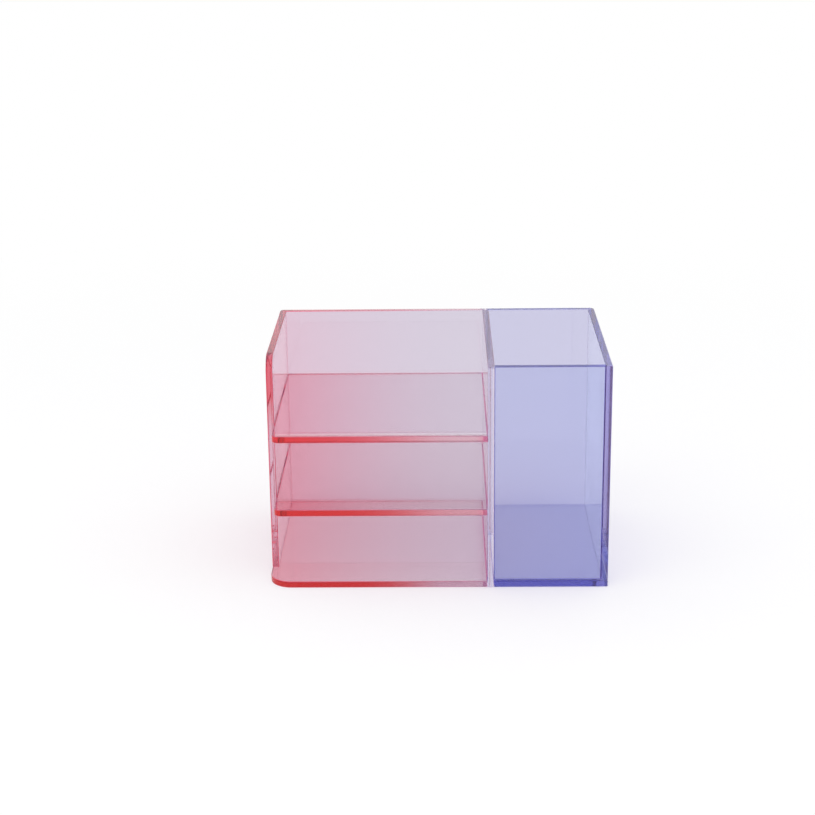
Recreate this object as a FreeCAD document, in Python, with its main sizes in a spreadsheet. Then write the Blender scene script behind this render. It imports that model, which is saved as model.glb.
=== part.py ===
import FreeCAD, Part
import Sketcher
import os

# A desk organiser glued up from flat acrylic sheets. The left bay has three open tiers, and
# the right bay is a tall bin that is open at the top. Every sheet is a body of its own, with
# its edges broken, and a thin film of glue lies between each sheet and its neighbour.
#
# Millimetres, +Z up, +X to the right and +Y to the back. The origin lies in the middle of the
# footprint, on the plane that the organiser stands on.

# Alias, value and meaning of each driving size.
SIZES = (
    ("sheet_thickness", "3.0", "thickness of every acrylic sheet"),
    ("tier_bay_width", "95.0", "clear width between the left wall and the divider"),
    ("bin_bay_width", "48.0", "clear width between the divider and the right wall"),
    ("tier_clear_height", "31.4", "clear height of one tier, from sheet to sheet"),
    ("overall_depth", "100.0", "from the front edges to the back face"),
    ("left_wall_setback", "17.0", "how far the left wall's front edge lies behind the front"),
    ("left_wall_radius", "8.0", "rounding of the left wall's upper front corner"),
    ("floor_corner_radius", "10.0", "rounding of the tier floor's free front corner"),
    ("shelf_corner_radius", "3.0", "rounding of each shelf's free front corner"),
    ("back_corner_radius", "2.0", "rounding of the two outer upright corners at the back"),
    ("edge_break", "0.25", "bevel on every cut edge"),
    ("glue_film", "0.05", "gap that the glue fills between two sheets"),
)

# The shelves of the tier bay, from the bottom up. There is one tier more than shelves.
SHELVES = ("lower_shelf", "upper_shelf")
TIER_COUNT = len(SHELVES) + 1

# Overall lengths that follow from the driving sizes, as expressions.
SHEET = "Sizes.sheet_thickness"
FILM = "Sizes.glue_film"
DEPTH = "Sizes.overall_depth"
WIDTH = f"(3 * {SHEET} + Sizes.tier_bay_width + Sizes.bin_bay_width)"
TIER_PITCH = f"({SHEET} + Sizes.tier_clear_height)"
HEIGHT = f"({TIER_COUNT} * {TIER_PITCH})"

# Planes that several sheets share, measured from the origin.
LEFT_FACE = f"(-{WIDTH} / 2)"
TIER_BAY_LEFT = f"({LEFT_FACE} + {SHEET})"
DIVIDER_LEFT = f"({TIER_BAY_LEFT} + Sizes.tier_bay_width)"
DIVIDER_MIDDLE = f"({DIVIDER_LEFT} + {SHEET} / 2)"
BIN_BAY_LEFT = f"({DIVIDER_LEFT} + {SHEET})"
BIN_BAY_RIGHT = f"({BIN_BAY_LEFT} + Sizes.bin_bay_width)"
RIGHT_FACE = f"({WIDTH} / 2)"
FRONT_FACE = f"(-{DEPTH} / 2)"
BACK_FACE = f"({DEPTH} / 2)"
BACK_PANEL_FRONT = f"({BACK_FACE} - {SHEET})"
FLOOR_TOP = f"({SHEET} + {FILM})"
BODY_DEPTH = f"({BACK_PANEL_FRONT} - {FILM} - {FRONT_FACE})"

doc = FreeCAD.newDocument("AcrylicTierOrganiser")
sheets = []


def make_spreadsheet():
    """Put the driving sizes in the document, one row for each."""
    table = doc.addObject("Spreadsheet::Sheet", "Sizes")
    for row, (alias, value, meaning) in enumerate(SIZES, start=1):
        table.set(f"A{row}", alias)
        table.set(f"B{row}", value)
        table.set(f"C{row}", meaning)
        table.setAlias(f"B{row}", alias)
    doc.recompute()


def origin_plane(body, role):
    """Return the one of the body's own origin planes that has this role."""
    for feature in body.Origin.OriginFeatures:
        if feature.Role == role:
            return feature
    raise ValueError(role)


def rectangle_sketch(body, role, across, upward):
    """Draw a rectangle from the plane's centre, with its two lengths bound to expressions."""
    start_point, end_point = 1, 2
    plane_centre = (-1, 1)
    sketch = body.newObject("Sketcher::SketchObject", body.Name + "_outline")
    sketch.AttachmentSupport = [(origin_plane(body, role), "")]
    sketch.MapMode = "FlatFace"
    corners = [FreeCAD.Vector(*xy, 0) for xy in ((0, 0), (1, 0), (1, 1), (0, 1))]
    bottom, right, top, left = range(4)
    for start, end in zip(corners, corners[1:] + corners[:1]):
        sketch.addGeometry(Part.LineSegment(start, end), False)
    for line, following in ((bottom, right), (right, top), (top, left), (left, bottom)):
        sketch.addConstraint(
            Sketcher.Constraint("Coincident", line, end_point, following, start_point)
        )
    sketch.addConstraint(Sketcher.Constraint("Horizontal", bottom))
    sketch.addConstraint(Sketcher.Constraint("Horizontal", top))
    sketch.addConstraint(Sketcher.Constraint("Vertical", right))
    sketch.addConstraint(Sketcher.Constraint("Vertical", left))
    sketch.addConstraint(Sketcher.Constraint("Coincident", bottom, start_point, *plane_centre))
    for name, direction, line, expression in (
        ("across", "DistanceX", bottom, across),
        ("upward", "DistanceY", right, upward),
    ):
        length = Sketcher.Constraint(direction, line, start_point, line, end_point, 1.0)
        index = sketch.addConstraint(length)
        sketch.renameConstraint(index, name)
        sketch.setExpression(f"Constraints.{name}", expression)
    return sketch


def make_sheet(name, role, across, upward, place):
    """Pad one rectangular sheet from the body's plane and put its lowest corner at place."""
    body = doc.addObject("PartDesign::Body", name)
    body.Label = name
    sketch = rectangle_sketch(body, role, across, upward)
    pad = body.newObject("PartDesign::Pad", name + "_sheet")
    pad.Profile = sketch
    pad.setExpression("Length", SHEET)
    # The XZ plane faces the front, and its sheet has to grow towards the back.
    pad.Reversed = role == "XZ_Plane"
    sketch.Visibility = False
    for axis, expression in zip("xyz", place):
        body.setExpression(f"Placement.Base.{axis}", expression)
    doc.recompute()
    sheets.append(body)
    return body


def nearest_edge(shape, point):
    """Name the edge of the shape whose middle lies nearest to the point."""
    distances = [edge.CenterOfMass.distanceToPoint(point) for edge in shape.Edges]
    return f"Edge{distances.index(min(distances)) + 1}"


def round_corner(body, corner, radius):
    """Fillet the edge across the sheet at a corner of its box, given as low, middle or high."""
    base = body.Tip
    box = base.Shape.BoundBox
    limits = ((box.XMin, box.XMax), (box.YMin, box.YMax), (box.ZMin, box.ZMax))
    shares = {"low": 0.0, "middle": 0.5, "high": 1.0}
    point = FreeCAD.Vector(
        *(low + shares[side] * (high - low) for side, (low, high) in zip(corner, limits))
    )
    fillet = body.newObject("PartDesign::Fillet", body.Name + "_corner")
    fillet.Base = (base, [nearest_edge(base.Shape, point)])
    fillet.setExpression("Radius", radius)
    doc.recompute()


def outline_edges(shape):
    """Name the edges around the sheet's two broad faces."""
    broad_faces = sorted(shape.Faces, key=lambda face: face.Area)[-2:]
    outlines = [edge for face in broad_faces for edge in face.Edges]
    return [
        f"Edge{number}"
        for number, edge in enumerate(shape.Edges, start=1)
        if any(edge.isSame(outline) for outline in outlines)
    ]


def break_edges(body):
    """Bevel the outlines of the sheet's two broad faces."""
    base = body.Tip
    bevel = body.newObject("PartDesign::Chamfer", body.Name + "_edge_break")
    bevel.Base = (base, outline_edges(base.Shape))
    bevel.setExpression("Size", "Sizes.edge_break")
    doc.recompute()


def make_tier_floor():
    """The tier bay's base plate, under the left wall, with its free front corner rounded."""
    floor = make_sheet(
        "tier_floor",
        "XY_Plane",
        across=f"{DIVIDER_LEFT} - {FILM} - {LEFT_FACE}",
        upward=BODY_DEPTH,
        place=(LEFT_FACE, FRONT_FACE, "0"),
    )
    round_corner(floor, ("low", "low", "middle"), "Sizes.floor_corner_radius")
    break_edges(floor)


def make_bin_floor():
    """The bin's base plate, from the divider to the right face, under the right wall."""
    floor = make_sheet(
        "bin_floor",
        "XY_Plane",
        across=f"{RIGHT_FACE} - {BIN_BAY_LEFT} - {FILM}",
        upward=BODY_DEPTH,
        place=(f"{BIN_BAY_LEFT} + {FILM}", FRONT_FACE, "0"),
    )
    break_edges(floor)


def make_shelf(name, number):
    """One shelf between the left wall and the divider, a whole number of tiers up."""
    shelf = make_sheet(
        name,
        "XY_Plane",
        across=f"Sizes.tier_bay_width - 2 * {FILM}",
        upward=BODY_DEPTH,
        place=(f"{TIER_BAY_LEFT} + {FILM}", FRONT_FACE, f"{number} * {TIER_PITCH}"),
    )
    round_corner(shelf, ("low", "low", "middle"), "Sizes.shelf_corner_radius")
    break_edges(shelf)


def make_left_wall():
    """The left wall, set back from the front, with its upper front corner rounded."""
    wall = make_sheet(
        "left_side_wall",
        "YZ_Plane",
        across=f"{BODY_DEPTH} - Sizes.left_wall_setback",
        upward=f"{HEIGHT} - {FLOOR_TOP}",
        place=(LEFT_FACE, f"{FRONT_FACE} + Sizes.left_wall_setback", FLOOR_TOP),
    )
    round_corner(wall, ("middle", "low", "high"), "Sizes.left_wall_radius")
    break_edges(wall)


def make_divider():
    """The full-height wall between the two bays, down to the ground between the floors."""
    divider = make_sheet(
        "divider_wall",
        "YZ_Plane",
        across=BODY_DEPTH,
        upward=HEIGHT,
        place=(DIVIDER_LEFT, FRONT_FACE, "0"),
    )
    break_edges(divider)


def make_right_wall():
    """The right wall, on the bin's floor."""
    wall = make_sheet(
        "right_side_wall",
        "YZ_Plane",
        across=BODY_DEPTH,
        upward=f"{HEIGHT} - {FLOOR_TOP}",
        place=(BIN_BAY_RIGHT, FRONT_FACE, FLOOR_TOP),
    )
    break_edges(wall)


def make_bin_front():
    """The bin's front panel, on its floor, flush with the front between divider and wall."""
    panel = make_sheet(
        "bin_front_panel",
        "XZ_Plane",
        across=f"Sizes.bin_bay_width - 2 * {FILM}",
        upward=f"{HEIGHT} - {FLOOR_TOP}",
        place=(f"{BIN_BAY_LEFT} + {FILM}", FRONT_FACE, FLOOR_TOP),
    )
    break_edges(panel)


def make_tier_back():
    """The tier bay's back panel, behind all other sheets, up to the middle of the divider."""
    panel = make_sheet(
        "tier_back_panel",
        "XZ_Plane",
        across=f"{DIVIDER_MIDDLE} - {FILM} / 2 - {LEFT_FACE}",
        upward=HEIGHT,
        place=(LEFT_FACE, BACK_PANEL_FRONT, "0"),
    )
    round_corner(panel, ("low", "high", "middle"), "Sizes.back_corner_radius")
    break_edges(panel)


def make_bin_back():
    """The bin's back panel, from the middle of the divider to the right face."""
    panel = make_sheet(
        "bin_back_panel",
        "XZ_Plane",
        across=f"{RIGHT_FACE} - {DIVIDER_MIDDLE} - {FILM} / 2",
        upward=HEIGHT,
        place=(f"{DIVIDER_MIDDLE} + {FILM} / 2", BACK_PANEL_FRONT, "0"),
    )
    round_corner(panel, ("high", "high", "middle"), "Sizes.back_corner_radius")
    break_edges(panel)


def check_document():
    """Stop if any object failed to compute or any sheet is not one valid solid."""
    for item in doc.Objects:
        if "Invalid" in item.State or "Error" in item.State:
            raise RuntimeError(f"{item.Label} failed: {item.State}")
    for sheet in sheets:
        if sheet.Shape.isNull() or not sheet.Shape.isValid() or len(sheet.Shape.Solids) != 1:
            raise RuntimeError(f"{sheet.Label} is not one valid solid")


def export_sheets():
    """Write each sheet to a file that carries its label."""
    os.makedirs("parts", exist_ok=True)
    for sheet in sheets:
        sheet.Shape.exportStep(f"parts/{sheet.Label}.step")
        print(f"{sheet.Label}: {sheet.Shape.Volume:.1f} mm3")


make_spreadsheet()
make_tier_floor()
make_bin_floor()
for number, name in enumerate(SHELVES, start=1):
    make_shelf(name, number)
make_left_wall()
make_divider()
make_right_wall()
make_bin_front()
make_tier_back()
make_bin_back()
doc.recompute()
check_document()
export_sheets()
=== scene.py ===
"""Dresses the tiered desk organiser: red tier bay, clear divider, blue pen bin.

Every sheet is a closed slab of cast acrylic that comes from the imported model.
A sheet keeps its shape and place, and gets glass that bends light, a dye inside
that deepens with the length of the light's path, a tint that fades from the
outer side towards the divider, tinted glue in its joints, and the marks of
handling and of sawing.
"""

import logging
import math
from collections.abc import Mapping, Sequence
from dataclasses import dataclass, field
from enum import Enum

import bpy
import numpy as np
from mathutils import Matrix, Vector


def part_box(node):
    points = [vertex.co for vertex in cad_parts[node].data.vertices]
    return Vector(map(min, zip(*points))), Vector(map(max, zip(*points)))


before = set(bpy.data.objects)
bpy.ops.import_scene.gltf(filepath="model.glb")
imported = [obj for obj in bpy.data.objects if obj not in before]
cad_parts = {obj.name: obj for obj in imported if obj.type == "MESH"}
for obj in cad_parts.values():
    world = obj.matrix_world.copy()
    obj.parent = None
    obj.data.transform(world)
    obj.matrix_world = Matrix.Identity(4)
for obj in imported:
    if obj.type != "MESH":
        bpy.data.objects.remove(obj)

logging.basicConfig(level=logging.INFO, format="%(message)s")
LOG = logging.getLogger("organiser")

Triple = tuple[float, float, float]
Colour = Triple
MM = 0.001
WHITE: Colour = (1.0, 1.0, 1.0)


class Axis(Enum):
    """An axis of the frame."""

    SIDEWAYS = 0
    FRONT_TO_BACK = 1
    UPWARDS = 2


class Side(Enum):
    """One of the two corners of a sheet's box."""

    LOW = 0
    HIGH = 1


def edge(name: str, axis: Axis, side: Side) -> float:
    """Where a packed sheet begins or ends along an axis, in millimetres."""
    return round(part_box(name)[side.value][axis.value] / MM, 3)


def edge_field(name: str, axis: Axis, side: Side) -> float:
    """A dataclass field that starts as an edge of a packed sheet."""
    return field(default_factory=lambda: edge(name, axis, side))


def add_object(name: str, data: bpy.types.ID) -> bpy.types.Object:
    """Puts an object with this data into the scene.

    Args:
        name: the object's name.
        data: its mesh, lamp or camera.

    Returns:
        The object.
    """
    made = bpy.data.objects.new(name, data)
    bpy.context.scene.collection.objects.link(made)
    return made


class Wire:
    """One output of a node, on which plain arithmetic adds Math nodes."""

    def __init__(self, shop: "NodeShop", node: bpy.types.Node, out: int | str) -> None:
        """Keeps the node and which of its outputs is meant.

        Args:
            shop: the maker that the node belongs to.
            node: the node.
            out: the name or number of its output.
        """
        self.shop = shop
        self.made = node
        self.out = out

    @property
    def socket(self) -> bpy.types.NodeSocket:
        """The output socket itself."""
        return self.made.outputs[self.out]

    def pick(self, out: int | str) -> "Wire":
        """Another output of the same node."""
        return Wire(self.shop, self.made, out)

    def math(self, operation: str, *values: object) -> "Wire":
        """The result of one Math node with these values or wires."""
        return self.shop.node("ShaderNodeMath", {"operation": operation}, dict(enumerate(values)))

    def __add__(self, other: object) -> "Wire":
        """self + other."""
        return self.math("ADD", self, other)

    def __radd__(self, other: object) -> "Wire":
        """other + self."""
        return self.math("ADD", other, self)

    def __sub__(self, other: object) -> "Wire":
        """self - other."""
        return self.math("SUBTRACT", self, other)

    def __rsub__(self, other: object) -> "Wire":
        """other - self."""
        return self.math("SUBTRACT", other, self)

    def __mul__(self, other: object) -> "Wire":
        """self * other."""
        return self.math("MULTIPLY", self, other)

    def __rmul__(self, other: object) -> "Wire":
        """other * self."""
        return self.math("MULTIPLY", other, self)

    def __truediv__(self, other: object) -> "Wire":
        """self / other."""
        return self.math("DIVIDE", self, other)

    def __rtruediv__(self, other: object) -> "Wire":
        """other / self."""
        return self.math("DIVIDE", other, self)

    def __abs__(self) -> "Wire":
        """The size of self without its sign."""
        return self.math("ABSOLUTE", self)

    def most(self, *others: "Wire") -> "Wire":
        """The greatest of several values.

        Args:
            others: the wires that self is compared with.

        Returns:
            The wire of the greatest value.
        """
        greatest = self
        for other in others:
            greatest = greatest.math("MAXIMUM", greatest, other)
        return greatest

    def rise(self, start: float, end: float) -> "Wire":
        """A soft step.

        Args:
            start: where the step leaves 0.
            end: where it reaches 1; less than start for a fall.

        Returns:
            The wire of the step, from 0 to 1.
        """
        low, high = min(start, end), max(start, end)
        settings = {"interpolation_type": "SMOOTHSTEP"}
        sockets = {"Value": self, "From Min": low, "From Max": high}
        step = self.shop.node("ShaderNodeMapRange", settings, sockets)
        return step if start < end else 1.0 - step


class NodeShop:
    """Makes the nodes of one material or world and joins them."""

    def __init__(self, tree: bpy.types.NodeTree) -> None:
        """Empties the tree and keeps it."""
        tree.nodes.clear()
        self.tree = tree

    def node(
        self,
        kind: str,
        settings: Mapping[str, object] | None = None,
        sockets: Mapping[int | str, object] | None = None,
        out: int | str = 0,
    ) -> Wire:
        """Makes one node, sets it up and then fills its sockets.

        Args:
            kind: the node's type.
            settings: its own settings, set first; "stops" holds a ramp's places
                and colours.
            sockets: the value or wire of each named or numbered input.
            out: the output that the wire stands for.

        Returns:
            The wire of that output.
        """
        made = self.tree.nodes.new(kind)
        for name, value in (settings or {}).items():
            if name == "stops":
                self._set_stops(made.color_ramp, value)
            else:
                setattr(made, name, value)
        for name, value in (sockets or {}).items():
            socket = made.inputs[name]
            if isinstance(value, Wire):
                self.tree.links.new(value.socket, socket)
            else:
                socket.default_value = value
        return Wire(self, made, out)

    @staticmethod
    def _set_stops(ramp: bpy.types.ColorRamp, stops: Sequence[tuple[float, Colour]]) -> None:
        """Puts the stops on a ramp.

        Args:
            ramp: the ramp, which starts with two stops.
            stops: each stop's place from 0 to 1, in rising order, and its colour.
        """
        while len(ramp.elements) < len(stops):
            ramp.elements.new(1.0)
        for element, (place, colour) in zip(ramp.elements, stops):
            element.position = place
            element.color = (*colour, 1.0)

    def mix(self, factor: object, first: object, second: object) -> Wire:
        """A colour between two others.

        Args:
            factor: 0 for the first colour, 1 for the second.
            first: the first colour.
            second: the second colour.

        Returns:
            The wire of the colour.
        """
        factor_input, first_input, second_input, colour_output = 0, 6, 7, 2
        sockets = {factor_input: factor, first_input: first, second_input: second}
        return self.node("ShaderNodeMix", {"data_type": "RGBA"}, sockets, colour_output)

    def vector(self, operation: str, *values: object) -> Wire:
        """The result of one Vector Math node with these vectors or wires."""
        return self.node("ShaderNodeVectorMath", {"operation": operation}, dict(enumerate(values)))

    def split(self, vector: Wire) -> Wire:
        """The first part of a vector; the other two are picked by number."""
        return self.node("ShaderNodeSeparateXYZ", None, {0: vector})

    def place(self) -> Wire:
        """The place on the piece, in metres, in the frame's axes."""
        return self.node("ShaderNodeTexCoord", None, None, "Object")

    def noise(self, place: Wire, scale: float, detail: float = 1.0, roughness: float = 0.5) -> Wire:
        """Random values around 0.5: scale patches to a metre, with detail finer layers."""
        sockets = {"Vector": place, "Scale": scale, "Detail": detail, "Roughness": roughness}
        return self.node("ShaderNodeTexNoise", None, sockets)

    def stretch(self, place: Wire, scale: Triple, turn: Triple) -> Wire:
        """The place turned and then stretched, for patterns with a direction."""
        sockets = {"Vector": place, "Rotation": turn, "Scale": scale}
        return self.node("ShaderNodeMapping", None, sockets)

    def seen(self) -> Wire:
        """Tells looking from lighting.

        Returns:
            The wire that is 1 where a surface is seen, straight or in glass or
            gloss, and 0 where it only lights something else.
        """
        rays = self.node("ShaderNodeLightPath")
        mirrored = rays.pick("Is Glossy Ray")
        bent = rays.pick("Is Transmission Ray")
        return rays.pick("Is Camera Ray").most(mirrored, bent)


@dataclass(frozen=True)
class Dye:
    """What a cast sheet's dye takes out of light on its way through.

    kept is the share of red, green and blue that is left after thickness
    millimetres, and headroom keeps the node's colour a little above black.
    """

    kept: Colour
    thickness: float = 100.0
    headroom: float = 1.02

    def wire(self, shop: NodeShop) -> Wire:
        """A plain absorbing volume with this dye.

        The loss per metre is minus the logarithm of the kept share over the
        thickness, and the node takes density times (1 - colour).

        Args:
            shop: the node maker.

        Returns:
            The wire of the volume.
        """
        loss = [-math.log(share) / (self.thickness * MM) for share in self.kept]
        density = max(loss) * self.headroom
        colour = tuple(1.0 - each / density for each in loss)
        sockets = {"Color": (*colour, 1.0), "Density": density}
        return shop.node("ShaderNodeVolumeAbsorption", None, sockets)


@dataclass(frozen=True)
class Fade:
    """A tint that changes along one axis of the organiser.

    Each stop is a place on that axis in millimetres and a colour as light sees it.
    """

    stops: tuple[tuple[float, Colour], ...]
    run: Axis = Axis.SIDEWAYS

    def wire(self, shop: NodeShop, axes: Wire) -> Wire:
        """The tint at each place.

        Args:
            shop: the node maker.
            axes: the place in metres, split into its three axes.

        Returns:
            The wire of the colour.
        """
        low, high = self.stops[0][0], self.stops[-1][0]
        span = high - low
        stops = [((place - low) / span, colour) for place, colour in self.stops]
        along = (axes.pick(self.run.value) - low * MM) / (span * MM)
        return shop.node("ShaderNodeValToRGB", {"stops": stops}, {0: along})


def blend(deep: Colour, pale: Colour, share: float) -> Colour:
    """The tint that a share of the deep dye gives; dye adds up in logarithms."""
    return tuple(a**share * b ** (1.0 - share) for a, b in zip(deep, pale))


@dataclass(frozen=True)
class FrontEdge:
    """The tint of a level's front edge, whose dye thins out towards the divider.

    The tint is deep up to full, and pale from gone on, both in millimetres from the
    outer side. Between them the dye's share falls along an S curve. end is the tint
    right at the divider.
    """

    full: float
    gone: float
    deep: Colour
    pale: Colour
    end: Colour

    def tint(self, reach: float) -> Colour:
        """The tint so many millimetres from the outer side."""
        way = min(1.0, max(0.0, (reach - self.full) / (self.gone - self.full)))
        return blend(self.deep, self.pale, 1.0 - way * way * (3.0 - 2.0 * way))


class End(Enum):
    """Where on a sheet a joint is."""

    LEFT = "left"
    RIGHT = "right"
    ELSEWHERE = "elsewhere"


@dataclass(frozen=True)
class Glue:
    """How the glue lies between two sheets, in millimetres.

    Two sheets count as glued where they are at most thickest_film apart and
    overlap by at least least_overlap. reach is how far a joint reaches past the
    film, and room how far it stays inside the outline that the sheets share.
    """

    thickest_film: float = 0.15
    least_overlap: float = 1.0
    reach: float = 0.02
    room: float = 0.26


PLAIN_GLUE = Glue()
# At the ends of a sheet the glue also fills the grooves beside the bevels.
WET_GLUE = Glue(reach=0.27, room=0.005)


@dataclass(frozen=True)
class Joint:
    """The glued area between two sheets: a thin box from low to high, in metres.

    end tells at which end of the sheet the joint is.
    """

    low: Triple
    high: Triple
    end: End

    def mask(self, shop: NodeShop, place: Wire) -> Wire:
        """1 inside the box and 0 outside.

        The distance from the middle over half the box's side is under 1 along
        every axis inside the box, so its greatest share is compared with 1.

        Args:
            shop: the node maker.
            place: the place in metres.

        Returns:
            The wire of the mask.
        """
        middle = [(a + b) / 2.0 for a, b in zip(self.low, self.high)]
        half = [(b - a) / 2.0 for a, b in zip(self.low, self.high)]
        away = shop.vector("ABSOLUTE", shop.vector("SUBTRACT", place, middle))
        share = shop.split(shop.vector("DIVIDE", away, half))
        greatest = share.most(share.pick(1), share.pick(2))
        return greatest.math("LESS_THAN", greatest, 1.0)


def joint_between(name: str, other: str) -> Joint | None:
    """Finds the joint of two sheets from their boxes.

    Glued sheets lie a film apart along one axis and overlap along the other two.
    The joint is the gap between the boxes, made thicker by the glue's reach and
    narrower by its room.

    Args:
        name: the node of the sheet that the joint is described for.
        other: the node of its neighbour.

    Returns:
        The joint, or None where the two aren't glued.
    """
    low_here, high_here = np.array(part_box(name)) / MM
    low_there, high_there = np.array(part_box(other)) / MM
    low, high = np.maximum(low_here, low_there), np.minimum(high_here, high_there)
    gap = low - high
    thin = (gap > 0.0) & (gap < PLAIN_GLUE.thickest_film)
    wide = gap < -PLAIN_GLUE.least_overlap
    if thin.sum() != 1 or wide.sum() != 2:
        return None
    end, glue = End.ELSEWHERE, PLAIN_GLUE
    across = Axis.SIDEWAYS.value
    if thin[across]:
        end = End.LEFT if low_there[across] < low_here[across] else End.RIGHT
        glue = WET_GLUE
    grow = np.where(thin, glue.reach, -glue.room)
    start = (np.where(thin, high, low) - grow) * MM
    stop = (np.where(thin, low, high) + grow) * MM
    return Joint(tuple(start.tolist()), tuple(stop.tolist()), end)


def joints_of(name: str) -> list[Joint]:
    """The joints of a sheet, one for each neighbour that it is glued to."""
    found = [joint_between(name, other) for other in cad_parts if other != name]
    return [joint for joint in found if joint is not None]


@dataclass(frozen=True)
class Haze:
    """The roughness of a clean broad face, of a polished rim and of a bevel."""

    face: float = 0.012
    rim: float = 0.03
    arris: float = 0.35


@dataclass(frozen=True)
class Hairlines:
    """Fine scratches in one direction.

    They are long thin cells of stretched noise, cut where it passes its middle.
    """

    stretch: Triple
    turn: Triple
    width: float

    def wire(self, shop: NodeShop, place: Wire) -> Wire:
        """1 on a scratch and 0 off it."""
        cells = shop.noise(shop.stretch(place, self.stretch, self.turn), scale=1.0)
        return abs(cells - 0.5).rise(self.width, 0.0)


@dataclass(frozen=True)
class Marks:
    """The marks of handling and of sawing, which are alike on every sheet.

    Each mark is drawn from noise: its scale is a number of patches to a metre, its
    detail how many finer layers there are, and its onset the noise at which the
    mark begins and that at which it is full. haze is what it adds to the sheet's
    roughness. saw_height and scratch_depth are shares of bump_depth, which is in
    metres.
    """

    smudge_scale: float = 38.0
    smudge_detail: float = 3.0
    smudge_onset: tuple[float, float] = (0.52, 0.75)
    smudge_haze: float = 0.02
    hairlines: tuple[Hairlines, Hairlines] = (
        Hairlines(stretch=(14.0, 420.0, 420.0), turn=(0.3, 0.2, 0.5), width=0.008),
        Hairlines(stretch=(380.0, 380.0, 11.0), turn=(0.9, -0.3, 0.2), width=0.007),
    )
    scratch_scale: float = 22.0
    scratch_onset: tuple[float, float] = (0.5, 0.7)
    scratch_haze: float = 0.10
    scratch_depth: float = 0.4
    saw_scale: float = 1400.0
    saw_detail: float = 2.0
    saw_roughness: float = 0.6
    saw_haze: float = 0.03
    saw_height: float = 0.15
    bump_strength: float = 0.12
    bump_depth: float = 0.00003

    def smudges(self, shop: NodeShop, place: Wire) -> Wire:
        """Soft patches that fingers left."""
        return shop.noise(place, self.smudge_scale, self.smudge_detail).rise(*self.smudge_onset)

    def scratches(self, shop: NodeShop, place: Wire) -> Wire:
        """Hairlines in both directions, only where the sheet was handled.

        Args:
            shop: the node maker.
            place: the place in metres.

        Returns:
            The wire that is 1 on a scratch and 0 off it.
        """
        first, second = (each.wire(shop, place) for each in self.hairlines)
        handled = shop.noise(place, self.scratch_scale).rise(*self.scratch_onset)
        return first.most(second) * handled

    def saw_marks(self, shop: NodeShop, place: Wire) -> Wire:
        """Fine uneven ridges that the saw and the polisher left on the cut edges."""
        return shop.noise(place, self.saw_scale, self.saw_detail, self.saw_roughness)


@dataclass(frozen=True)
class Zones:
    """How the zones of a sheet are told apart by the way that a face looks.

    The share of the normal along the sheet's own axis is 1 on a broad face, 0 on
    a rim and about 0.7 on the bevel between them. Each zone is given by the share
    where it has not begun and that where it is full.
    """

    broad: tuple[float, float] = (0.85, 0.95)
    rim: tuple[float, float] = (0.45, 0.35)

    def wires(self, shop: NodeShop, lie: Axis) -> tuple[Wire, Wire]:
        """Makes the masks of the broad faces and of the rims.

        Args:
            shop: the node maker.
            lie: the axis that the broad faces look along.

        Returns:
            The wires that are 1 on the broad faces and 1 on the rims.
        """
        looks = shop.split(shop.node("ShaderNodeTexCoord", None, None, "Normal"))
        along = abs(looks.pick(lie.value))
        return along.rise(*self.broad), along.rise(*self.rim)


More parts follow.
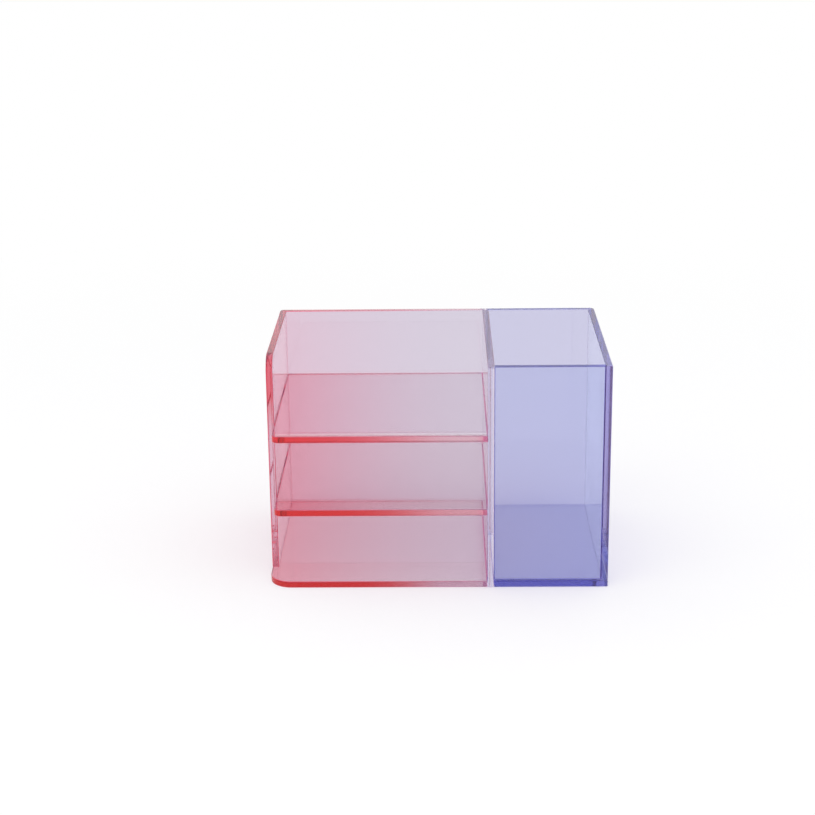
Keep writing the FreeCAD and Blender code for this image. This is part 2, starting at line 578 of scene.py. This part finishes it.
@dataclass(frozen=True)
class Acrylic:
    """The finish of one cast acrylic sheet with polished edges.

    lie is the axis that its broad faces look along. face tints those, rim its
    narrow edges and arris the small bevels between the two, which are tinted dark
    as painted shade, a dark outline along the edges. passed is what lamps see
    through the sheet and what its joints let through, apart from those at the
    ends that glue names. index is how much it bends light.
    """

    name: str
    lie: Axis
    face: Fade
    rim: Fade
    arris: Fade
    dye: Dye
    passed: Colour
    glue: Mapping[End, Colour] = field(default_factory=dict)
    haze: Haze = Haze()
    marks: Marks = Marks()
    zones: Zones = Zones()
    index: float = 1.49

    def material(self, joints: Sequence[Joint]) -> bpy.types.Material:
        """The finished material.

        Lamps and scattered light see a clear sheet of the passed colour, and so
        does every look through a glued area, because glue bends light as much as
        the sheets do.

        Args:
            joints: the sheet's glued areas.

        Returns:
            A material of bending glass with dye, tint, wear and saw marks.
        """
        made = bpy.data.materials.new(self.name)
        made.use_nodes = True
        shop = NodeShop(made.node_tree)
        place = shop.place()
        rays = shop.node("ShaderNodeLightPath")
        clear = rays.pick("Is Shadow Ray").most(rays.pick("Is Diffuse Ray"))
        tinted = []
        for joint in joints:
            if joint.end in self.glue:
                tinted.append((joint.mask(shop, place), self.glue[joint.end]))
            else:
                clear = clear.most(joint.mask(shop, place))
        surface = self._glass(shop, place)
        for share, tint in [(clear, self.passed), *tinted]:
            way = shop.node("ShaderNodeBsdfTransparent", None, {"Color": (*tint, 1.0)})
            surface = shop.node("ShaderNodeMixShader", None, {0: share, 1: surface, 2: way})
        ends = {"Surface": surface, "Volume": self.dye.wire(shop)}
        shop.node("ShaderNodeOutputMaterial", {"is_active_output": True}, ends)
        return made

    def _glass(self, shop: NodeShop, place: Wire) -> Wire:
        """Bending glass whose tint, roughness and bump differ between the zones.

        Args:
            shop: the node maker.
            place: the place in metres.

        Returns:
            The wire of the shader.
        """
        axes = shop.split(place)
        marks = self.marks
        broad, rim = self.zones.wires(shop, self.lie)
        bevel = 1.0 - broad - rim
        smudge = marks.smudges(shop, place)
        scratch = marks.scratches(shop, place)
        saw = marks.saw_marks(shop, place)

        # Bevels take the arris tint, painted shade that darkens the outline along every edge; rims
        # take the rim tint.
        edges = shop.mix(rim, self.arris.wire(shop, axes), self.rim.wire(shop, axes))
        worn = self.haze.face + smudge * marks.smudge_haze + scratch * marks.scratch_haze
        sawn = self.haze.rim + saw * marks.saw_haze
        roughness = broad * worn + rim * sawn + bevel * self.haze.arris
        height = (1.0 - broad) * saw * marks.saw_height - broad * scratch * marks.scratch_depth
        bump_sockets = {
            "Strength": marks.bump_strength,
            "Distance": marks.bump_depth,
            "Height": height,
        }
        glass_sockets = {
            "Base Color": shop.mix(broad, edges, self.face.wire(shop, axes)),
            "Roughness": roughness,
            "Normal": shop.node("ShaderNodeBump", None, bump_sockets),
            "IOR": self.index,
            "Transmission Weight": 1.0,
        }
        return shop.node("ShaderNodeBsdfPrincipled", None, glass_sockets)


@dataclass
class Sheets:
    """A sub-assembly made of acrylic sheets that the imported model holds.

    left and right are its ends, foot is the top of the floors, on which the
    upright sheets stand, and top is where those end, all in millimetres.
    """

    title: str = ""
    left: float = edge_field("tier_floor", Axis.SIDEWAYS, Side.LOW)
    right: float = edge_field("right_side_wall", Axis.SIDEWAYS, Side.HIGH)
    foot: float = edge_field("tier_floor", Axis.UPWARDS, Side.HIGH)
    top: float = edge_field("divider_wall", Axis.UPWARDS, Side.HIGH)

    def finishes(self) -> dict[str, Acrylic]:
        """The finish of each named sheet."""
        return {}

    def across(self, *colours: Colour) -> Fade:
        """A fade from the left end to the right end through evenly spaced colours."""
        places = np.linspace(self.left, self.right, len(colours)).tolist()
        return Fade(tuple(zip(places, colours)))

    def even(self, colour: Colour) -> Fade:
        """The same tint from end to end."""
        return self.across(colour, colour)

    def dress(self) -> None:
        """Gives every sheet its finish and reports it."""
        for name, finish in self.finishes().items():
            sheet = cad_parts[name]
            made = finish.material(joints_of(name))
            sheet.data.materials.clear()
            sheet.data.materials.append(made)
            for slot in sheet.material_slots:
                slot.material = made
            low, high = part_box(name)
            spans = [round((high[axis.value] - low[axis.value]) / MM, 2) for axis in Axis]
            LOG.info("%s: %s, %s mm, %s", self.title, name, spans, finish.name)


@dataclass
class TierBay(Sheets):
    """The open tiers on the left: floor, two shelves, wall and back, dyed red.

    The dye is deep at the outer side and almost gone at the divider. A front edge
    turns to its last tint over glow. The wall's front edge is deep at the foot,
    paler after foot_fade and palest from shelf_line, a painted highlight of near
    white, and deep again from curve_line, which it turns to over curve_fade; the
    top softens over top_fade. All are in millimetres. steps is the number of parts
    that a fade is drawn in.
    """

    title: str = "tier bay"
    right: float = edge_field("divider_wall", Axis.SIDEWAYS, Side.LOW)
    glow: float = 5.0
    steps: int = 12
    foot_fade: float = 14.0
    shelf_line: float = edge_field("lower_shelf", Axis.UPWARDS, Side.LOW)
    curve_line: float = 86.0
    curve_fade: float = 20.0
    top_fade: float = 2.0
    dye: Dye = Dye((0.93, 0.66, 0.76))
    wall_dye: Dye = Dye((0.92, 0.66, 0.74))
    passed: Colour = (0.95, 0.91, 0.925)

    def thinning(self, edge: FrontEdge) -> Fade:
        """The fade of a level's front edge.

        Args:
            edge: how its dye thins out.

        Returns:
            The fade, with evenly spaced stops up to the last tint.
        """
        length = self.right - self.glow - self.left
        reaches = [length * step / self.steps for step in range(self.steps + 1)]
        stops = [(self.left + reach, edge.tint(reach)) for reach in reaches]
        return Fade((*stops, (self.right, edge.end)))

    def waning(self, deep: Colour, pale: Colour) -> Fade:
        """The fade of a broad face, whose dye thins out fast and then ever slower."""
        shares = [(1.0 - step / self.steps) ** 2 for step in range(self.steps + 1)]
        return self.across(*(blend(deep, pale, share) for share in shares))

    def arris(self) -> Fade:
        """The dark line along the bevels, maroon outside and mauve at the divider."""
        # Painted shade: the bevels are tinted dark to draw the dark outline of the edges.
        return self.across((1.0, 0.04, 0.10), (0.94, 0.13, 0.22), (0.66, 0.50, 0.62))

    def glue(self) -> dict[End, Colour]:
        """The glue of the levels: maroon at the outer wall and mauve at the divider."""
        return {End.LEFT: (0.76, 0.20, 0.32), End.RIGHT: (0.84, 0.50, 0.65)}

    def level(self, name: str, face: Fade, rim: Fade) -> Acrylic:
        """The finish of a level sheet, which is glued at both ends."""
        return Acrylic(name, Axis.UPWARDS, face, rim, self.arris(), self.dye, self.passed, self.glue())

    def floor(self) -> Acrylic:
        """The base plate, tinted deepest: partly by the dye and partly by painted shade of the table
        top seen through it.

        Returns:
            The finish.
        """
        # Painted shade: the face tint is darker than the shelves' partly to stand for the shaded table
        # top under the plate.
        face = self.waning((0.85, 0.46, 0.52), (0.76, 0.70, 0.76))
        edge = FrontEdge(
            full=30.0,
            gone=80.0,
            deep=(0.60, 0.0005, 0.0005),
            pale=(0.55, 0.50, 0.55),
            end=(0.50, 0.55, 0.65),
        )
        return self.level("red_floor_acrylic", face, self.thinning(edge))

    def lower_shelf(self) -> Acrylic:
        """The lower shelf, whose front edge glows deep red at the outer side.

        Returns:
            The finish.
        """
        face = self.waning((0.93, 0.49, 0.54), (0.88, 0.80, 0.81))
        edge = FrontEdge(
            full=15.0,
            gone=85.0,
            deep=(0.80, 0.0005, 0.0005),
            pale=(0.85, 0.45, 0.40),
            end=(1.0, 0.25, 0.35),
        )
        return self.level("red_lower_shelf_acrylic", face, self.thinning(edge))

    def upper_shelf(self) -> Acrylic:
        """The upper shelf, a little paler than the lower one.

        Returns:
            The finish.
        """
        face = self.waning((0.94, 0.52, 0.58), (0.89, 0.85, 0.87))
        edge = FrontEdge(
            full=0.0,
            gone=85.0,
            deep=(0.95, 0.0025, 0.004),
            pale=(0.90, 0.80, 0.70),
            end=(1.0, 0.20, 0.40),
        )
        return self.level("red_upper_shelf_acrylic", face, self.thinning(edge))

    def wall(self) -> Acrylic:
        """The outer wall, whose front edge is deep at its foot and at its rounded top.

        Returns:
            The finish.
        """
        # Painted highlight: the front edge pales to near white from above the foot up to the curve;
        # the deep foot and rounded top are the dye.
        pale, deep = (0.90, 0.98, 0.98), (0.97, 0.09, 0.115)
        rim_stops = (
            (self.foot, (1.0, 0.30, 0.34)),
            (self.foot + self.foot_fade, (1.0, 0.62, 0.66)),
            (self.shelf_line, pale),
            (self.curve_line - self.curve_fade, pale),
            (self.curve_line, deep),
            (self.top - self.top_fade, deep),
            (self.top, (0.95, 0.19, 0.25)),
        )
        return Acrylic(
            name="red_wall_acrylic",
            lie=Axis.SIDEWAYS,
            face=self.even((0.93, 0.74, 0.80)),
            rim=Fade(rim_stops, Axis.UPWARDS),
            arris=self.arris(),
            dye=self.wall_dye,
            passed=self.passed,
        )

    def back(self) -> Acrylic:
        """The back panel, which everything in the bay is seen against.

        Returns:
            The finish.
        """
        return Acrylic(
            name="red_back_acrylic",
            lie=Axis.FRONT_TO_BACK,
            face=self.waning((0.75, 0.56, 0.67), (0.68, 0.63, 0.74)),
            rim=self.across((0.56, 0.09, 0.12), (0.56, 0.15, 0.20), (0.66, 0.52, 0.60)),
            arris=self.arris(),
            dye=self.dye,
            passed=self.passed,
        )

    def finishes(self) -> dict[str, Acrylic]:
        """The finish of each sheet of the bay.

        Returns:
            The name of each sheet and its finish.
        """
        return {
            "tier_floor": self.floor(),
            "lower_shelf": self.lower_shelf(),
            "upper_shelf": self.upper_shelf(),
            "left_side_wall": self.wall(),
            "tier_back_panel": self.back(),
        }


@dataclass
class Divider(Sheets):
    """The clear wall between the tiers and the bin.

    Its front edge darkens over the last top_fade millimetres.
    """

    title: str = "divider"
    left: float = edge_field("divider_wall", Axis.SIDEWAYS, Side.LOW)
    right: float = edge_field("divider_wall", Axis.SIDEWAYS, Side.HIGH)
    top_fade: float = 1.2
    dye: Dye = Dye((0.88, 0.86, 0.92))
    passed: Colour = (0.95, 0.94, 0.96)
    haze: Haze = Haze(rim=0.05)

    def wall(self) -> Acrylic:
        """The wall itself: clear, with a hazy front edge and a darker top.

        Returns:
            The finish.
        """
        pale, dark = (1.0, 0.97, 0.99), (0.30, 0.25, 0.42)
        rim_stops = ((self.foot, pale), (self.top - self.top_fade, pale), (self.top, dark))
        return Acrylic(
            name="clear_divider_acrylic",
            lie=Axis.SIDEWAYS,
            face=self.even((0.88, 0.84, 0.91)),
            rim=Fade(rim_stops, Axis.UPWARDS),
            # Painted shade: a faint greyish dark line along the bevels.
            arris=self.even((0.80, 0.75, 0.84)),
            dye=self.dye,
            passed=self.passed,
            haze=self.haze,
        )

    def finishes(self) -> dict[str, Acrylic]:
        """The finish of the one sheet."""
        return {"divider_wall": self.wall()}


@dataclass
class PenBin(Sheets):
    """The deep bin on the right: floor, front, wall and back, dyed blue.

    The wall's front edge is deep blue up to deep_line and mauve after deep_fade,
    and pales over the last top_fade. lip is the depth of the dark line along the
    front panel's top edge, and lip_fade that of its start. All are in millimetres.
    """

    title: str = "pen bin"
    left: float = edge_field("divider_wall", Axis.SIDEWAYS, Side.LOW)
    deep_line: float = 17.0
    deep_fade: float = 7.0
    top_fade: float = 3.0
    lip: float = 0.4
    lip_fade: float = 0.4
    dye: Dye = Dye((0.22, 0.22, 0.62))
    wall_dye: Dye = Dye((0.56, 0.53, 0.84))
    passed: Colour = (0.905, 0.90, 0.95)

    def arris(self, deep: float) -> Fade:
        """The navy line along the bevels, from soft where deep is 0 to darkest where it is 1."""
        # Painted shade: the bevels are tinted navy to draw the dark outline of the edges.
        soft, dark = (0.50, 0.48, 0.78), (0.10, 0.09, 0.42)
        return self.even(tuple(a + (b - a) * deep for a, b in zip(soft, dark)))

    def glue(self) -> dict[End, Colour]:
        """The glue of the floor and the front: blue at the divider, violet at the wall."""
        return {End.LEFT: (0.60, 0.60, 0.86), End.RIGHT: (0.50, 0.44, 0.78)}

    def upright(self) -> Fade:
        """The tint of the front's and the wall's broad faces."""
        return self.across((0.82, 0.85, 0.96), (0.80, 0.84, 0.97))

    def floor(self) -> Acrylic:
        """The base plate.

        Returns:
            The finish.
        """
        return Acrylic(
            name="blue_floor_acrylic",
            lie=Axis.UPWARDS,
            face=self.across((0.625, 0.625, 0.785), (0.605, 0.615, 0.785)),
            rim=self.across((0.50, 0.50, 0.86), (0.46, 0.47, 0.88)),
            arris=self.arris(deep=0.3),
            dye=self.dye,
            passed=self.passed,
            glue=self.glue(),
        )

    def front(self) -> Acrylic:
        """The front panel, whose top edge is a dark line.

        Returns:
            The finish.
        """
        side, dark = (0.50, 0.50, 0.86), (0.05, 0.045, 0.75)
        lip_line = self.top - self.lip
        rim_stops = (
            (self.foot, side),
            (lip_line - self.lip_fade, side),
            (lip_line, dark),
            (self.top, dark),
        )
        return Acrylic(
            name="blue_front_acrylic",
            lie=Axis.FRONT_TO_BACK,
            face=self.upright(),
            rim=Fade(rim_stops, Axis.UPWARDS),
            arris=self.arris(deep=1.0),
            dye=self.dye,
            passed=self.passed,
            glue=self.glue(),
        )

    def wall(self) -> Acrylic:
        """The outer wall, mauve along its front edge and deep blue at the foot.

        Returns:
            The finish.
        """
        deep = (0.80, 0.94, 1.0)
        rim_stops = (
            (self.foot, deep),
            (self.deep_line, deep),
            (self.deep_line + self.deep_fade, (0.86, 0.78, 0.70)),
            (self.top - self.top_fade, (0.88, 0.84, 0.92)),
            (self.top, (1.0, 0.97, 1.0)),
        )
        return Acrylic(
            name="blue_wall_acrylic",
            lie=Axis.SIDEWAYS,
            face=self.upright(),
            rim=Fade(rim_stops, Axis.UPWARDS),
            arris=self.arris(deep=0.5),
            dye=self.wall_dye,
            passed=self.passed,
        )

    def back(self) -> Acrylic:
        """The back panel.

        Returns:
            The finish.
        """
        return Acrylic(
            name="blue_back_acrylic",
            lie=Axis.FRONT_TO_BACK,
            face=self.across((0.65, 0.63, 0.785), (0.65, 0.638, 0.80)),
            rim=self.across((0.84, 0.84, 0.96), (0.80, 0.81, 0.96)),
            arris=self.arris(deep=0.0),
            dye=self.dye,
            passed=self.passed,
        )

    def finishes(self) -> dict[str, Acrylic]:
        """The finish of each sheet of the bin.

        Returns:
            The name of each sheet and its finish.
        """
        return {
            "bin_floor": self.floor(),
            "bin_front_panel": self.front(),
            "right_side_wall": self.wall(),
            "bin_back_panel": self.back(),
        }


@dataclass(frozen=True)
class Viewpoint:
    """Where the camera stands, in metres, how it looks, in radians, and its lens, in mm."""

    stand: Triple = (0.0009016, -0.7842300, 0.3213618)
    yaw: float = -0.0188246
    pitch: float = -0.3113226
    roll: float = -0.0113759
    lens: float = 78.2872
    sensor: float = 36.0
    nearest: float = 0.01
    furthest: float = 100.0

    def make(self) -> None:
        """Makes the scene's camera.

        The camera looks along (sin yaw cos pitch, cos yaw cos pitch, sin pitch),
        and its right hand is then turned about that line by the roll.
        """
        sideways = math.sin(self.yaw) * math.cos(self.pitch)
        forwards = math.cos(self.yaw) * math.cos(self.pitch)
        ahead = np.array((sideways, forwards, math.sin(self.pitch)))
        level = np.array((math.cos(self.yaw), -math.sin(self.yaw), 0.0))
        upright = np.cross(level, ahead)
        right = level * math.cos(self.roll) + upright * math.sin(self.roll)
        up = upright * math.cos(self.roll) - level * math.sin(self.roll)
        data = bpy.data.cameras.new("camera")
        data.sensor_width = self.sensor
        data.lens = self.lens
        data.clip_start = self.nearest
        data.clip_end = self.furthest
        camera = add_object("camera", data)
        turn = Matrix(np.column_stack((right, up, -ahead)).tolist()).to_4x4()
        camera.matrix_world = Matrix.Translation(self.stand) @ turn
        bpy.context.scene.camera = camera


@dataclass(frozen=True)
class Lamp:
    """One large soft square lamp.

    stand is where it hangs, side its width and target what it looks at, all in
    metres, and power is in watts.
    """

    name: str
    stand: Triple
    side: float
    power: float
    target: Triple = (0.0, 0.0, 0.05)

    def make(self) -> None:
        """Hangs the lamp and turns it to its target."""
        data = bpy.data.lights.new(self.name, "AREA")
        data.shape = "SQUARE"
        data.size = self.side
        data.energy = self.power
        lamp = add_object(self.name, data)
        line = Vector(self.target) - Vector(self.stand)
        turn = line.to_track_quat("-Z", "Y").to_matrix().to_4x4()
        lamp.matrix_world = Matrix.Translation(self.stand) @ turn


@dataclass(frozen=True)
class Paper:
    """White paper that keeps a shadow near the organiser and stays white far away.

    It has a fine grain between two tones, dull and bright, with grain fibres to a
    metre and detail finer layers. It turns from matt paper to plain white between
    two distances from the middle, near and far, in metres.
    """

    name: str = "white_paper"
    dull: Colour = (0.955, 0.955, 0.96)
    bright: Colour = (0.975, 0.975, 0.98)
    grain: float = 900.0
    detail: float = 2.0
    near: float = 0.16
    far: float = 0.7

    def material(self) -> bpy.types.Material:
        """The finished material, in which only what is looked at turns plain white.

        Returns:
            A material of two tones of matt white that turns to plain white.
        """
        made = bpy.data.materials.new(self.name)
        made.use_nodes = True
        shop = NodeShop(made.node_tree)
        place = shop.place()
        fibres = shop.noise(place, self.grain, self.detail)
        dull = shop.node("ShaderNodeBsdfDiffuse", None, {"Color": (*self.dull, 1.0)})
        bright = shop.node("ShaderNodeBsdfDiffuse", None, {"Color": (*self.bright, 1.0)})
        paper = shop.node("ShaderNodeMixShader", None, {0: fibres, 1: dull, 2: bright})
        white = shop.node("ShaderNodeEmission", None, {"Color": (*WHITE, 1.0), "Strength": 1.0})
        away = shop.vector("LENGTH", place).pick("Value").rise(self.near, self.far)
        both = shop.node("ShaderNodeMixShader", None, {0: away * shop.seen(), 1: paper, 2: white})
        shop.node("ShaderNodeOutputMaterial", None, {"Surface": both})
        return made


@dataclass
class Studio:
    """A round table top under soft lamps, with light from all round.

    The top's radius and height are in metres, and it lies just under the sheets.
    round_light is the strength of the light from all round, and the bounces are
    how far light is followed through sheets, straight through glue, and between
    matt surfaces.
    """

    radius: float = 9.0
    height: float = -0.0001
    rings: int = 48
    spokes: int = 96
    round_light: float = 0.90
    sheet_bounces: int = 160
    glue_bounces: int = 48
    matt_bounces: int = 3
    paper: Paper = Paper()
    lamps: tuple[Lamp, ...] = (
        Lamp("key_lamp", stand=(-0.9, -1.0, 1.6), side=1.2, power=6.0),
        Lamp("fill_lamp", stand=(1.3, -0.3, 1.4), side=1.4, power=3.5),
    )

    def build(self) -> None:
        """Makes the table top, the world and the lamps, and settles how far light is followed."""
        floor = self._table_top()
        LOG.info("studio: %s, %.1f m across", floor.name, 2.0 * self.radius)
        self._world()
        for lamp in self.lamps:
            lamp.make()
        scene = bpy.context.scene
        scene.view_settings.view_transform = "Standard"
        rays = scene.cycles
        rays.max_bounces = self.sheet_bounces
        rays.glossy_bounces = self.sheet_bounces
        rays.transmission_bounces = self.sheet_bounces
        rays.transparent_max_bounces = self.glue_bounces
        rays.diffuse_bounces = self.matt_bounces
        rays.caustics_reflective = False
        rays.caustics_refractive = False

    def _table_top(self) -> bpy.types.Object:
        """The round table top.

        Ring k of n has the radius R (k / n) squared, so the rings crowd towards the
        middle, and all of them lie at the same height round one hub.

        Returns:
            The table top.
        """
        share = np.arange(1, self.rings + 1) / self.rings
        turn = np.arange(self.spokes) / self.spokes * 2 * np.pi
        radius, angle = np.meshgrid(share**2 * self.radius, turn, indexing="ij")
        height = np.full_like(radius, self.height)
        circles = np.stack((radius * np.cos(angle), radius * np.sin(angle), height), -1)
        points = np.vstack(((0.0, 0.0, self.height), circles.reshape(-1, 3)))
        step = np.arange(self.spokes)
        after = (step + 1) % self.spokes
        hub = np.column_stack((np.zeros_like(step), 1 + step, 1 + after))
        inner = 1 + np.arange(self.rings - 1)[:, None] * self.spokes
        outer = inner + self.spokes
        quads = np.stack((inner + step, outer + step, outer + after, inner + after), -1)
        mesh = bpy.data.meshes.new("table_top")
        mesh.from_pydata(points.tolist(), [], hub.tolist() + quads.reshape(-1, 4).tolist())
        mesh.materials.append(self.paper.material())
        floor = add_object("table_top", mesh)
        return floor

    def _world(self) -> None:
        """Even light from all round, which is seen as white in glass and behind the table."""
        world = bpy.data.worlds.new("studio_world")
        bpy.context.scene.world = world
        world.use_nodes = True
        shop = NodeShop(world.node_tree)
        strength = self.round_light + shop.seen() * (1.0 - self.round_light)
        sockets = {"Color": (*WHITE, 1.0), "Strength": strength}
        light = shop.node("ShaderNodeBackground", None, sockets)
        shop.node("ShaderNodeOutputWorld", None, {"Surface": light})


def main() -> None:
    """Makes the camera, the studio and the finishes of the three sub-assemblies."""
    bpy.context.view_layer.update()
    Viewpoint().make()
    Studio().build()
    for part in (TierBay(), Divider(), PenBin()):
        part.dress()


if __name__ == "__main__":
    main()
